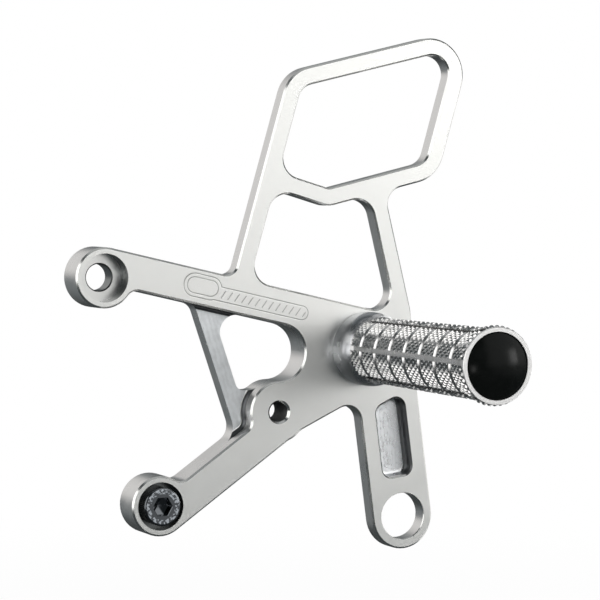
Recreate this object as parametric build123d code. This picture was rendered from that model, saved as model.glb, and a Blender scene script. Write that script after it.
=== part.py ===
from build123d import *
import os
from math import atan2, cos, degrees, radians, sin, sqrt, tan

os.makedirs("parts", exist_ok=True)

# Left-hand rear-set footrest of a racing motorcycle. Millimetres.
# The origin is the centre of the upper mounting hole, on the bracket's back face.
# +X points to the rear of the motorcycle, +Z up, and the footpeg runs outboard along -Y.
# Angles are in degrees in the XZ plane, from +X towards +Z.

# Billet thicknesses
body_thickness = 12.7
plate_thickness = 6.35
web_thickness = 6.35
front_chamfer = 0.6
back_chamfer = 0.5

# Hole positions, from the upper mounting hole
mounting_spacing = 80.0
mounting_angle = -75.77
peg_x = 96.4
peg_z = -26.1
pivot_x = 63.4
pivot_z = -47.2
tab_hole_x = 111.0
tab_hole_z = -85.7

# Mounting bosses and their M8 socket screws
boss_radius = 10.25
counterbore_radius = 8.2
counterbore_depth = 6.1
mounting_hole_radius = 4.5
mounting_hole_edge = 0.4
screw_thread_radius = 4.0
screw_neck_radius = 3.5
screw_neck_standoff = 0.5
screw_length = 20.0
screw_head_radius = 6.5
screw_head_height = 8.0
screw_head_edge = 0.7
screw_socket_flats = 6.0
screw_socket_depth = 4.0
screw_tip_chamfer = 0.8

# Arms, web and the lobe round the threaded pivot hole
arm_width = 12.0
upper_arm_angle = -13.1
lobe_step = 0.35
lobe_floor_step = 1.05
pivot_minor_radius = 3.4
pivot_countersink = 0.75
web_width = 5.4
web_angle = -71.1
web_foot_distance = 34.8
web_window_round_ratio = 0.99
web_window_flat = 0.05
web_window_corner = 6.0
web_window_foot = 3.2
web_fillet_top = 4.5
web_fillet_foot = 6.0
neck_fillet = 4.0
lobe_blend = 5.0
recess_fillet = 4.0
cutter_corner = 1.5
cutter_overshoot = 1.0

# Edges round the peg, each at its distance from the peg's axis
body_floor_angle = 25.3
guard_side_angle = 73.7
guard_front_distance = 54.9
guard_rear_distance = 10.5
guard_top_angle = 13.5
guard_top_distance = 100.1
guard_floor_distance = 51.6
strut_angle = -76.2
strut_distance = 20.4
rear_edge_step = 2.75
tab_angle = -82.45
guard_window_angle = -16.5
guard_window_distance = 49.7
rim_width = 6.1

# Outline corners
arm_guard_fillet = 4.2
guard_front_corner = 12.5
guard_rear_corner = 12.9
guard_lower_corner = 13.0
guard_strut_fillet = 6.3
rear_edge_blend = 25.0
tab_fillet = 5.5
guard_window_corner = 6.5
guard_window_wide = 7.0
guard_window_vee = 3.0
strut_window_corner = 7.0
strut_window_narrow = 6.3
strut_window_brow = 8.0

# Lower tab
tab_half_width = 11.6
tab_hole_radius = 8.2
tab_hole_edge = 0.25
pocket_depth = 4.5
pocket_front_margin = 6.2
pocket_rear_margin = 5.9
pocket_roof_distance = 20.8
pocket_floor_distance = 14.3
pocket_corner = 3.4

# Footpeg, turned and knurled
peg_length = 95.6
collar_radius = 12.9
collar_land = 5.2
collar_length = 11.0
collar_edge = 0.4
peg_root_radius = 11.35
peg_end_radius = 11.75
flare_radius = 12.9
flare_length = 8.5
lip_length = 2.6
end_ring_radius = 12.35
ring_groove_count = 7
ring_groove_first = 19.3
ring_groove_last = 10.3
ring_groove_width = 1.8
groove_depth = 0.9
long_groove_count = 6
long_groove_width = 1.9
long_groove_angle = 178.0
peg_bore_radius = 9.25
peg_base_thickness = 11.5
plug_seat_radius = 10.8
plug_seat_depth = 2.2

# Peg bolt, M10, hidden in the bore, with its split washer
bolt_radius = 5.0
bolt_minor_radius = 4.25
bolt_length = 25.0
bolt_head_radius = 8.0
bolt_head_height = 10.0
bolt_head_edge = 0.9
bolt_socket_flats = 8.0
bolt_socket_depth = 5.0
washer_thickness = 2.5
washer_radius = 8.1
washer_bore_radius = 5.2
washer_gap = 1.2
bolt_hole_clearance = 0.4

# End plug, pushed into the bore
plug_rim_radius = 10.75
plug_rim_thickness = 1.9
plug_dome_height = 3.2
plug_skirt_length = 7.0
plug_skirt_wall = 1.6
fit_clearance = 0.03

upper_hole = (0.0, 0.0)
lower_hole = (
    mounting_spacing * cos(radians(mounting_angle)),
    mounting_spacing * sin(radians(mounting_angle)),
)
peg = (peg_x, peg_z)
pivot = (pivot_x, pivot_z)
tab_hole = (tab_hole_x, tab_hole_z)
lower_arm_angle = degrees(atan2(pivot[1] - lower_hole[1], pivot[0] - lower_hole[0]))
lobe_radius = boss_radius + lobe_step


def beside(point, angle, distance):
    """Point at a distance to the left of a line that leaves a point at an angle."""
    return (
        point[0] - distance * sin(radians(angle)),
        point[1] + distance * cos(radians(angle)),
    )


def edge_line(point, angle, distance=0.0):
    """Line at an angle, a distance to the left of a point, as a point and its angle."""
    return (beside(point, angle, distance), angle)


def meet(first, second):
    """Point where two lines cross."""
    (ax, az), a = first
    (bx, bz), b = second
    a = radians(a)
    b = radians(b)
    reach = ((bx - ax) * sin(b) - (bz - az) * cos(b)) / sin(b - a)
    return (ax + reach * cos(a), az + reach * sin(a))


def measure(line, point):
    """How far a point lies along a line and to its left."""
    (x, z), angle = line
    angle = radians(angle)
    dx = point[0] - x
    dz = point[1] - z
    return (dx * cos(angle) + dz * sin(angle), dz * cos(angle) - dx * sin(angle))


def crossing(line, centre, radius, way):
    """Point where a line enters (way -1) or leaves (way 1) a circle."""
    (x, z), angle = line
    along, aside = measure(line, centre)
    reach = along + way * sqrt(radius**2 - aside**2)
    return (x + reach * cos(radians(angle)), z + reach * sin(radians(angle)))


def rounded(corners):
    """Closed face through (point, fillet radius) corners."""
    points = [point for point, radius in corners]
    radii = [radius for point, radius in corners]
    return make_face(FilletPolyline(*points, radius=radii, close=True))


def disc(centre, radius):
    return Pos(*centre) * Circle(radius)


def fillet_near(sketch, point, radius):
    """Fillet the one corner of a sketch that lies nearest to a point."""
    target = Vector(*point)
    corner = min(sketch.vertices(), key=lambda v: (Vector(v) - target).length)
    return fillet(corner, radius)


def slab(sketch, low, high):
    """Solid of a sketch between two heights above the bracket's back face."""
    return extrude(Plane.XZ.offset(low) * sketch, high - low)


def outboard(centre, height=body_thickness):
    """Place a piece turned about +Z so that its axis runs outboard from a height on the bracket."""
    return Plane(origin=(centre[0], -height, centre[1]), x_dir=(1, 0, 0), z_dir=(0, -1, 0)).location


def turned(*outline):
    """Solid of revolution about Z from (radius, height) points."""
    return revolve(Plane.XZ * make_face(Polyline(*outline, close=True)), Axis.Z)


# Lines that the bracket's outline follows
arm_top = edge_line(upper_hole, upper_arm_angle, boss_radius)
arm_underside = edge_line(upper_hole, upper_arm_angle, boss_radius - arm_width)
lower_arm_floor = edge_line(lower_hole, lower_arm_angle, -boss_radius)
lower_arm_top = edge_line(lower_hole, lower_arm_angle, arm_width - boss_radius)
body_floor = edge_line(pivot, body_floor_angle, lobe_floor_step - lobe_radius)
guard_front = edge_line(peg, guard_side_angle, guard_front_distance)
guard_rear = edge_line(peg, guard_side_angle, -guard_rear_distance)
guard_top = edge_line(peg, guard_top_angle, guard_top_distance)
guard_floor = edge_line(peg, guard_top_angle, guard_floor_distance)
strut_rear = edge_line(peg, strut_angle, strut_distance)
tab_rear = edge_line(tab_hole, tab_angle, tab_half_width)
rear_edge = edge_line(meet(strut_rear, tab_rear), -90, rear_edge_step)
tab_front = edge_line(tab_hole, tab_angle, -tab_half_width)
web_foot = (
    upper_hole[0] + web_foot_distance * cos(radians(upper_arm_angle)),
    upper_hole[1] + web_foot_distance * sin(radians(upper_arm_angle)),
)
web_front = edge_line(web_foot, web_angle)
web_rear = edge_line(web_foot, web_angle, web_width)
peg_seat_radius = measure(body_floor, peg)[1]

# Heights on the footpeg that follow its length
flare_end = peg_length - lip_length
flare_start = flare_end - flare_length
ring_groove_pitch = (peg_length - ring_groove_last - ring_groove_first) / (ring_groove_count - 1)


def outline():
    """Outer shape of the bracket, seen from outboard."""
    shape = rounded(
        [
            (beside(upper_hole, upper_arm_angle, boss_radius), 0),
            (meet(arm_top, guard_front), arm_guard_fillet),
            (meet(guard_front, guard_top), guard_front_corner),
            (meet(guard_top, guard_rear), guard_rear_corner),
            (meet(guard_rear, guard_floor), guard_lower_corner),
            (meet(guard_floor, strut_rear), guard_strut_fillet),
            (meet(strut_rear, rear_edge), rear_edge_blend),
            (meet(rear_edge, tab_rear), rear_edge_blend),
            (beside(tab_hole, tab_angle, tab_half_width), 0),
            (beside(tab_hole, tab_angle, -tab_half_width), 0),
            (meet(tab_front, body_floor), tab_fillet),
            (crossing(body_floor, pivot, boss_radius + lobe_step / 2, 1), 0),
            (crossing(lower_arm_floor, pivot, boss_radius + lobe_step / 2, -1), 0),
            (beside(lower_hole, lower_arm_angle, -boss_radius), 0),
            (beside(lower_hole, lower_arm_angle, arm_width - boss_radius), 0),
            (meet(lower_arm_top, web_front), web_fillet_foot),
            (meet(web_front, arm_underside), web_fillet_top),
            (beside(upper_hole, upper_arm_angle, boss_radius - arm_width), 0),
        ]
    )
    shape += disc(upper_hole, boss_radius)
    shape += disc(lower_hole, boss_radius)
    shape += disc(tab_hole, tab_half_width)
    shape += disc(pivot, lobe_radius)
    shape = fillet_near(shape, crossing(arm_underside, upper_hole, boss_radius, 1), neck_fillet)
    shape = fillet_near(shape, crossing(lower_arm_top, lower_hole, boss_radius, 1), neck_fillet)
    shape = fillet_near(shape, crossing(lower_arm_floor, pivot, lobe_radius, -1), lobe_blend)
    return fillet_near(shape, crossing(body_floor, pivot, lobe_radius, 1), lobe_blend)


def guard_window():
    """Opening in the heel guard."""
    front_side = edge_line(peg, guard_side_angle, guard_front_distance - rim_width)
    roof = edge_line(peg, guard_top_angle, guard_top_distance - rim_width)
    rear_side = edge_line(peg, guard_side_angle, rim_width - guard_rear_distance)
    rear_floor = edge_line(peg, guard_top_angle, guard_floor_distance + rim_width)
    front_floor = edge_line(peg, guard_window_angle, guard_window_distance)
    return rounded(
        [
            (meet(front_side, roof), guard_window_corner),
            (meet(roof, rear_side), guard_window_corner),
            (meet(rear_side, rear_floor), guard_window_corner),
            (meet(rear_floor, front_floor), guard_window_vee),
            (meet(front_floor, front_side), guard_window_wide),
        ]
    )


def strut_window():
    """Opening between the heel guard, the upper arm and the rear strut."""
    front_side = edge_line(peg, guard_side_angle, guard_front_distance - rim_width)
    front_roof = edge_line(peg, guard_window_angle, guard_window_distance - rim_width)
    rear_side = edge_line(peg, strut_angle, strut_distance - rim_width)
    return rounded(
        [
            (meet(front_side, front_roof), strut_window_corner),
            (meet(front_roof, guard_floor), strut_window_brow),
            (meet(guard_floor, rear_side), strut_window_corner),
            (meet(rear_side, arm_top), strut_window_narrow),
            (meet(arm_top, front_side), strut_window_corner),
        ]
    )


def web_window():
    """Opening between the two arms, behind the web, hollowed round the pivot's lobe.

    Its rear end is round: two corners of one radius take nearly all of its height there.
    """
    lobe_top = pivot[1] + lobe_radius
    roof = meet(arm_underside, ((pivot[0] + web_window_flat, 0), 90))
    share = web_window_round_ratio / (1 + 1 / tan(radians(90 - upper_arm_angle) / 2))
    radius = share * (roof[1] - lobe_top) / (1 - share * tan(radians(upper_arm_angle)))
    rear_x = pivot[0] + web_window_flat + radius
    rear_side = ((rear_x, lobe_top), 90)
    foot_line = ((pivot[0], lobe_top - web_window_foot), 0)
    lobe_foot = crossing(foot_line, pivot, lobe_radius, -1)
    corners = [
        ((rear_x, lobe_top), radius),
        (meet(arm_underside, rear_side), radius),
        (meet(web_rear, arm_underside), web_window_corner),
        (meet(foot_line, web_rear), web_window_foot),
    ]
    edge = FilletPolyline(
        (pivot[0], lobe_top),
        *[point for point, fillet_radius in corners],
        lobe_foot,
        radius=[fillet_radius for point, fillet_radius in corners],
    )
    foot_angle = degrees(atan2(lobe_foot[1] - pivot[1], lobe_foot[0] - pivot[0]))
    around_lobe = CenterArc(pivot, lobe_radius, 90, foot_angle - 90)
    shape = make_face([*edge.edges(), around_lobe])
    return fillet_near(shape, lobe_foot, neck_fillet)


def recess():
    """Tool for the recess that leaves the thin web between the two arms."""
    open_side = edge_line(web_foot, web_angle, -arm_width)
    shape = make_face(
        Polyline(
            meet(arm_underside, open_side),
            meet(arm_underside, (pivot, 90)),
            pivot,
            beside(pivot, lower_arm_angle, arm_width - boss_radius),
            meet(lower_arm_top, open_side),
            close=True,
        )
    )
    shape -= disc(pivot, lobe_radius)
    root = crossing(lower_arm_top, pivot, lobe_radius, -1)
    shape = fillet_near(shape, root, recess_fillet)
    tool = slab(shape, web_thickness, body_thickness + cutter_overshoot)
    floor = tool.faces().sort_by(Axis.Y)[-1]
    return fillet(floor.edges(), cutter_corner)


def tab_pocket():
    """Tool for the pocket in the lower tab."""
    front_side = edge_line(tab_hole, tab_angle, pocket_front_margin - tab_half_width)
    rear_side = edge_line(tab_hole, tab_angle, tab_half_width - pocket_rear_margin)
    roof = edge_line(peg, body_floor_angle, -pocket_roof_distance)
    floor_line = edge_line(tab_hole, tab_angle + 90, pocket_floor_distance)
    shape = rounded(
        [
            (meet(front_side, roof), pocket_corner),
            (meet(roof, rear_side), pocket_corner),
            (meet(rear_side, floor_line), pocket_corner),
            (meet(floor_line, front_side), pocket_corner),
        ]
    )
    tool = slab(shape, body_thickness - pocket_depth, body_thickness + cutter_overshoot)
    floor = tool.faces().sort_by(Axis.Y)[-1]
    return fillet(floor.edges(), cutter_corner)


def spine():
    """Region that keeps the full thickness: bosses, arms, pivot lobe and the peg's seat."""
    far = mounting_spacing
    shape = make_face(
        Polyline(
            meet(arm_top, ((-far, 0), 90)),
            meet(arm_top, edge_line(peg, upper_arm_angle + 90)),
            peg,
            meet(body_floor, edge_line(peg, body_floor_angle + 90)),
            meet(body_floor, lower_arm_floor),
            (pivot[0], pivot[1] - far),
            (-far, pivot[1] - far),
            close=True,
        )
    )
    return shape + disc(peg, peg_seat_radius) + disc(pivot, lobe_radius + lobe_blend)


def drill(centre, radius, low, high, low_sink=0.0, high_sink=0.0):
    """Hole tool between two heights above the back face, with a 45-degree sink at each mouth."""
    bottom = low - cutter_overshoot
    top = high + cutter_overshoot
    tool = turned(
        (0, bottom),
        (radius + (low_sink + cutter_overshoot if low_sink else 0), bottom),
        (radius, low + low_sink),
        (radius, high - high_sink),
        (radius + (high_sink + cutter_overshoot if high_sink else 0), top),
        (0, top),
    )
    return outboard(centre, 0) * tool


def milled_profile():
    """Bracket with its two thicknesses, recess, pocket and edge breaks, before drilling."""
    profile = outline() - guard_window() - strut_window() - web_window()
    plate = slab(profile, body_thickness - plate_thickness, body_thickness)
    plate = chamfer(plate.faces().sort_by(Axis.Y)[-1].edges(), back_chamfer)
    bracket = plate + slab(profile & spine(), 0, body_thickness)
    bracket -= recess()
    bracket -= tab_pocket()
    bracket = chamfer(bracket.faces().sort_by(Axis.Y)[0].edges(), front_chamfer)
    return chamfer(bracket.faces().sort_by(Axis.Y)[-1].edges(), back_chamfer)


def make_bracket():
    """One-piece billet bracket: mounting bosses, arms, web, heel guard and lower tab."""
    bracket = milled_profile()
    floor = body_thickness - counterbore_depth
    for hole in (upper_hole, lower_hole):
        bracket -= drill(hole, counterbore_radius, floor + cutter_overshoot, body_thickness)
        bracket -= drill(hole, mounting_hole_radius, 0, floor, high_sink=mounting_hole_edge)
    bracket -= drill(pivot, pivot_minor_radius, 0, body_thickness, pivot_countersink, pivot_countersink)
    bracket -= drill(peg, bolt_minor_radius, 0, body_thickness, pivot_countersink, pivot_countersink)
    tab_back = body_thickness - plate_thickness
    bracket -= drill(tab_hole, tab_hole_radius, tab_back, body_thickness, tab_hole_edge, tab_hole_edge)
    return bracket


def peg_radius(height):
    """Radius of the knurled land at a height above the bracket."""
    share = (height - collar_length) / (flare_start - collar_length)
    return peg_root_radius + share * (peg_end_radius - peg_root_radius)


def make_footpeg():
    """Knurled peg with an integral collar, ring grooves, lengthwise grooves and a flared end."""
    bolt_hole_radius = bolt_radius + bolt_hole_clearance
    seat_floor = peg_length - plug_seat_depth
    start = Line((bolt_hole_radius, 0), (collar_radius - collar_edge, 0))
    break_edge = Line(start @ 1, (collar_radius, collar_edge))
    land = Line(break_edge @ 1, (collar_radius, collar_land))
    dome = TangentArc(land @ 1, (peg_root_radius, collar_length), tangent=(0, 1))
    body = Line(dome @ 1, (peg_end_radius, flare_start))
    flare = TangentArc(body @ 1, (flare_radius, flare_end), tangent=body % 1)
    lip = TangentArc(flare @ 1, (end_ring_radius, peg_length), tangent=(0, 1))
    inside = Polyline(
        lip @ 1,
        (plug_seat_radius, peg_length),
        (plug_seat_radius, seat_floor),
        (peg_bore_radius, seat_floor),
        (peg_bore_radius, peg_base_thickness),
        (bolt_hole_radius, peg_base_thickness),
        start @ 0,
    )
    section = make_face([start, break_edge, land, dome, body, flare, lip, *inside.edges()])
    blank = revolve(Plane.XZ * section, Axis.Z)
    for ring in range(ring_groove_count):
        height = ring_groove_first + ring * ring_groove_pitch
        cutter = Cylinder(flare_radius, ring_groove_width) - Cylinder(
            peg_radius(height) - groove_depth, ring_groove_width
        )
        blank -= Pos(0, 0, height) * cutter
    middle = (collar_length + flare_start) / 2
    long_floor = peg_radius(middle) - groove_depth
    cutter = Box(flare_radius - long_floor, long_groove_width, flare_start - collar_length)
    for turn in range(long_groove_count):
        angle = long_groove_angle + turn * 360 / long_groove_count
        blank -= Rot(0, 0, angle) * Pos((flare_radius + long_floor) / 2, 0, middle) * cutter
    return outboard(peg) * blank


def cap_screw(neck_radius, neck_length, thread_radius, length, head, flats, socket_depth):
    """Socket cap screw about Z, its head's seat at height 0, its neck and thread below."""
    head_radius, head_height, head_edge = head
    cap = turned(
        (0, 0),
        (head_radius, 0),
        (head_radius, head_height - head_edge),
        (head_radius - head_edge, head_height),
        (0, head_height),
    )
    shank = turned(
        (0, -length),
        (thread_radius - screw_tip_chamfer, -length),
        (thread_radius, screw_tip_chamfer - length),
        (thread_radius, -neck_length),
        (neck_radius, -neck_length),
        (neck_radius, 0),
        (0, 0),
    )
    socket = extrude(RegularPolygon(flats / 2, 6, major_radius=False), socket_depth)
    return cap + shank - Pos(0, 0, head_height - socket_depth) * socket


def make_lower_mounting_screw():
    """M8 captive socket screw in the lower boss: a thin neck, and its thread behind the bracket."""
    seat_height = body_thickness - counterbore_depth
    screw = cap_screw(
        screw_neck_radius,
        seat_height + screw_neck_standoff,
        screw_thread_radius,
        screw_length,
        (screw_head_radius, screw_head_height, screw_head_edge),
        screw_socket_flats,
        screw_socket_depth,
    )
    return outboard(lower_hole, seat_height) * screw


def make_peg_bolt():
    """M10 socket bolt in the peg's bore; its thread is modelled at the bracket's thread root."""
    grip = peg_base_thickness + washer_thickness
    bolt = cap_screw(
        bolt_radius,
        grip,
        bolt_minor_radius - fit_clearance,
        bolt_length,
        (bolt_head_radius, bolt_head_height, bolt_head_edge),
        bolt_socket_flats,
        bolt_socket_depth,
    )
    return outboard(peg, body_thickness + grip) * bolt


def make_peg_lock_washer():
    """Split spring washer under the peg bolt's head."""
    ring = Cylinder(washer_radius, washer_thickness) - Cylinder(washer_bore_radius, washer_thickness)
    ring -= Pos(washer_radius, 0, 0) * Box(washer_radius, washer_gap, washer_thickness)
    return outboard(peg, body_thickness + peg_base_thickness + washer_thickness / 2) * ring


def make_peg_end_plug():
    """Domed end plug with a hollow skirt."""
    skirt_radius = peg_bore_radius - fit_clearance
    rim = Line((plug_rim_radius, 0), (plug_rim_radius, plug_rim_thickness))
    dome = TangentArc((0, plug_rim_thickness + plug_dome_height), rim @ 1, tangent=(1, 0))
    under = Polyline(
        dome @ 0,
        (0, 0),
        (skirt_radius - plug_skirt_wall, 0),
        (skirt_radius - plug_skirt_wall, -plug_skirt_length),
        (skirt_radius, -plug_skirt_length),
        (skirt_radius, 0),
        rim @ 0,
    )
    section = make_face([rim, dome, *under.edges()])
    plug = revolve(Plane.XZ * section, Axis.Z)
    return outboard(peg, body_thickness + peg_length - plug_seat_depth) * plug


pieces = {
    "bracket": make_bracket,
    "footpeg": make_footpeg,
    "peg_bolt": make_peg_bolt,
    "peg_lock_washer": make_peg_lock_washer,
    "peg_end_plug": make_peg_end_plug,
    "lower_mounting_screw": make_lower_mounting_screw,
}
for name, make in pieces.items():
    export_step(make(), f"parts/{name}.step")
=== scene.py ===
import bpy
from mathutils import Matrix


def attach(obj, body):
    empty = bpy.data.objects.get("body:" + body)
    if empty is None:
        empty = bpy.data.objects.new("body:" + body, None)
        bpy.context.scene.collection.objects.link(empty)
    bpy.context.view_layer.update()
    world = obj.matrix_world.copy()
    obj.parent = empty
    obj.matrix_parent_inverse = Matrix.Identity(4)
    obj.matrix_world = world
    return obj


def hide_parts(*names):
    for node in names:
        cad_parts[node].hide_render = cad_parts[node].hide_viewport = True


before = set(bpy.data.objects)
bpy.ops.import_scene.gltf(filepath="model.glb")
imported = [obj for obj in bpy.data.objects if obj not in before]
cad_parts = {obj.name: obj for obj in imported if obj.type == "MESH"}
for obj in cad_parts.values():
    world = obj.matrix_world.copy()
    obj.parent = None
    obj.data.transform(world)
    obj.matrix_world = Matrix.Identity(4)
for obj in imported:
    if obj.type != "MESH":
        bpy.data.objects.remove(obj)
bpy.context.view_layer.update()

from functools import partial
from math import atan2, cos, pi, radians, sin, sqrt, tan

import bmesh
import bpy
from bpy.props import FloatProperty, FloatVectorProperty, IntProperty, PointerProperty
from bpy.types import Operator, Panel, PropertyGroup
from mathutils import Matrix, Vector

bl_info = {
    "name": "Rear sets footrest",
    "version": (1, 0, 0),
    "blender": (4, 5, 0),
    "location": "3D View > Sidebar > Footrest",
    "description": "Dresses a racing motorcycle's rear-set footrest for a studio picture",
    "category": "Add Mesh",
}

MM = 0.001

# Axes of the turned pieces and the bracket's levels, in millimetres of the frame
ORIGIN = (0.0, 0.0, 0.0)
UPPER_HOLE = (0.0, 0.0)
LOWER_HOLE = (19.665, -77.546)
PIVOT = (63.4, -47.2)
PIVOT_RADIUS = 3.4
PEG = (96.4, -26.1)
FACE = 12.7
WEB_FACE = 6.35
WEB_COVE_TOP = 7.9
WEB_FOOT = (33.9, -7.9)
WEB_ANGLE = radians(-71.1)
WEB_LENGTH = 60.0
POCKET_FLOOR = 8.2
POCKET_COVE_TOP = 9.8
POCKET_FOOT = (108.5, -67.1)
POCKET_ANGLE = radians(97.5)
POCKET_LENGTH = 17.0
UPPER_ARM_ANGLE = radians(-13.1)

# Material slots of the bracket, the footpeg and the mounting screw
SATIN, WALL, EDGE, BORED, WEB, POCKET, SHADED_THREAD, SHADED_RECESS, SHADED_WALL = range(9)
TURNED, KNURLED, SHADED_GROOVE, FACED = range(4)
HEAD, SHANK = range(2)


def number(name, text, value, **limits):
    """Number setting, which is a length in millimetres if it has no unit or subtype."""
    return FloatProperty(name=name, description=text, default=value, **limits)


def colour(name, text, value):
    return FloatVectorProperty(
        name=name, description=text, default=value, subtype="COLOR", min=0, max=1, size=3
    )


def share(name, text, value):
    return number(name, text, value, min=0, max=1, subtype="FACTOR")


class FootrestBracketSettings(PropertyGroup):
    face_colour: colour("Face", "Colour of the satin faces", (0.925, 0.930, 0.910))
    wall_colour: colour("Walls", "Colour of the milled side walls", (0.80, 0.79, 0.78))
    face_roughness: share("Face roughness", "Roughness of the satin faces", 0.34)
    wall_roughness: share("Wall roughness", "Roughness of the milled walls", 0.30)
    edge_roughness: share("Edge roughness", "Roughness of the bright chamfers", 0.22)
    carving_depth: number("Carving depth", "Depth of the carved strip, in mm", 0.08, min=0)
    carving_width: number("Carving width", "Width of the carved lines, in mm", 0.30, min=0.05)
    pivot_thread_pitch: number("Pivot thread pitch", "Pitch of its thread, in mm", 1.25, min=0.5)


class FootrestPegSettings(PropertyGroup):
    diamonds_around: IntProperty(
        name="Diamonds around", description="Knurl diamonds round the peg", default=38, min=12
    )
    diamond_length: number("Diamond length", "Length of a knurl diamond, in mm", 3.15, min=0.5)
    knurl_depth: number("Knurl depth", "Depth of the knurl, in mm", 0.50, min=0.05)
    flank_angle: number("Flank angle", "Slope of the flanks", radians(45), subtype="ANGLE")
    metal_colour: colour("Metal", "Colour of the turned aluminium", (0.89, 0.885, 0.88))
    knurl_roughness: share("Knurl roughness", "Roughness of the knurl", 0.20)
    collar_roughness: share("Collar roughness", "Roughness of the turned collar", 0.24)


class FootrestHardwareSettings(PropertyGroup):
    plate_colour: colour("Plated steel", "Colour of the bright plated screws", (0.74, 0.79, 0.85))
    plate_roughness: share("Plate roughness", "Roughness of the plated screws", 0.16)
    plug_colour: colour("End plug", "Colour of the black plug", (0.0025, 0.003, 0.0028))
    plug_roughness: share("Plug roughness", "Roughness of the black plug", 0.20)
    screw_thread_pitch: number("Screw thread pitch", "Pitch of its thread, in mm", 1.25, min=0.5)


class FootrestStudioSettings(PropertyGroup):
    floor_level: number("Floor level", "Height of the floor", -0.150, unit="LENGTH")
    camera_azimuth: number("Azimuth", "Camera azimuth", radians(24.340), subtype="ANGLE")
    camera_elevation: number("Elevation", "Camera elevation", radians(2.5527), subtype="ANGLE")
    camera_distance: number("Distance", "Camera distance", 0.86279, unit="LENGTH")
    lamp_level: number("Lamp level", "Brightness of the soft lamps", 1.0, min=0, subtype="FACTOR")
    tent_shade: share("Tent shade", "Brightness of the dark cloth between the tent's panels", 0.06)


# Shapes


def outboard(centre, height):
    """Matrix that takes a piece turned about +Z, in metres, to its axis on the bracket."""
    x, z = centre[0] * MM, centre[1] * MM
    return Matrix(((1, 0, 0, x), (0, 0, -1, -height * MM), (0, 1, 0, z), (0, 0, 0, 1)))


def arc_about(start, end, direction):
    """Centre and signed radius of the arc that leaves start along a direction and reaches end."""
    start = Vector(start)
    chord = Vector(end) - start
    normal = Vector((-direction[1], direction[0])).normalized()
    radius = chord.length_squared / (2 * chord.dot(normal))
    return start + radius * normal, radius


def tangent_arc(start, end, direction, steps):
    """Points after start on the arc that leaves it along a direction and reaches end."""
    centre, radius = arc_about(start, end, direction)
    first = atan2(start[1] - centre.y, start[0] - centre.x)
    turn = atan2(end[1] - centre.y, end[0] - centre.x) - first
    turn = (turn + pi) % (2 * pi) - pi
    angles = [first + turn * step / steps for step in range(1, steps + 1)]
    reach = abs(radius)
    return [(centre.x + reach * cos(angle), centre.y + reach * sin(angle)) for angle in angles]


def arc_radius(start, end, direction, height):
    """Radius at a height on the arc that leaves start along a direction and reaches end."""
    centre, radius = arc_about(start, end, direction)
    reach = sqrt(max(radius * radius - (height - centre.y) ** 2, 0.0))
    return centre.x + reach if start[0] > centre.x else centre.x - reach


def spun(mesh, profile, closed, tolerance, **turn):
    """Faces of a (radius, height) profile in millimetres spun about Z."""
    before = set(mesh.faces)
    verts = [mesh.verts.new((radius * MM, 0, height * MM)) for radius, height in profile]
    pairs = list(zip(verts, verts[1:] + verts[:1])) if closed else zip(verts, verts[1:])
    edges = [mesh.edges.new(pair) for pair in pairs]
    bmesh.ops.spin(mesh, geom=verts + edges, cent=(0, 0, 0), axis=(0, 0, 1), **turn)
    points = {vert for face in mesh.faces if face not in before for vert in face.verts}
    bmesh.ops.remove_doubles(mesh, verts=list(points), dist=tolerance)
    return [face for face in mesh.faces if face not in before]


def lathe(mesh, profile, steps, material=0, closed=True):
    """Turn a profile full round, and return its faces."""
    turn = {"dvec": (0, 0, 0), "angle": 2 * pi, "steps": steps, "use_merge": True}
    faces = spun(mesh, profile, closed, 1e-7, **turn)
    bmesh.ops.recalc_face_normals(mesh, faces=faces)
    for face in faces:
        face.material_index = material
    return faces


def helix(mesh, profile, pitch, start, turns, steps, material):
    """Screw a profile of one pitch upwards from a height, with that many steps a turn."""
    raised = [(radius, start + height) for radius, height in profile]
    turn = {"dvec": (0, 0, pitch * MM / steps), "angle": 2 * pi * turns, "steps": steps * turns}
    for face in spun(mesh, raised, False, 1e-6, **turn):
        face.material_index = material


def cut(mesh, direction, level, reach=0.0, clear=False):
    """Cut a bmesh by a plane at a level along a direction, and clear what lies beyond it."""
    bmesh.ops.bisect_plane(
        mesh,
        geom=mesh.verts[:] + mesh.edges[:] + mesh.faces[:],
        dist=reach,
        plane_co=direction * level,
        plane_no=direction,
        clear_outer=clear,
    )


def trim(mesh, level, side):
    """Clear what lies above (side 1) or below (-1) a height in mm."""
    cut(mesh, Vector((0, 0, side)), side * level * MM, clear=True)


def point_faces(mesh, side, axial):
    """Turn faces away from the axis (side 1) or to it (-1), and flat ends along axial(height)."""
    for face in mesh.faces:
        centre = face.calc_center_median()
        way = Vector((side * centre.x, side * centre.y, 0))
        if abs(face.normal.z) > 0.99:
            way = Vector((0, 0, axial(centre.z)))
        if face.normal.dot(way) < 0:
            face.normal_flip()


def pour(source, target):
    """Add a bmesh to another one and free it."""
    held = bpy.data.meshes.new("held")
    source.to_mesh(held)
    source.free()
    target.from_mesh(held)
    bpy.data.meshes.remove(held)


def parts_of(made, kind):
    """The elements of one kind in what a bmesh operator made."""
    return [item for item in made["geom"] if isinstance(item, kind)]


def object_of(name, mesh, materials):
    """Object of a bmesh, which is freed, in the scene's collection."""
    data = bpy.data.meshes.new(name)
    mesh.to_mesh(data)
    mesh.free()
    for material in materials:
        data.materials.append(material)
    made = bpy.data.objects.new(name, data)
    bpy.context.scene.collection.objects.link(made)
    return made


def finish_piece(mesh, node, materials, crease=25):
    """Turn a bmesh in the frame's place into the piece that stands for a node."""
    piece = object_of(node + "_dressed", mesh, materials)
    piece.data.shade_smooth()
    piece.data.set_sharp_from_angle(angle=radians(crease))
    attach(piece, "root")
    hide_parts(node)


# Materials


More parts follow.
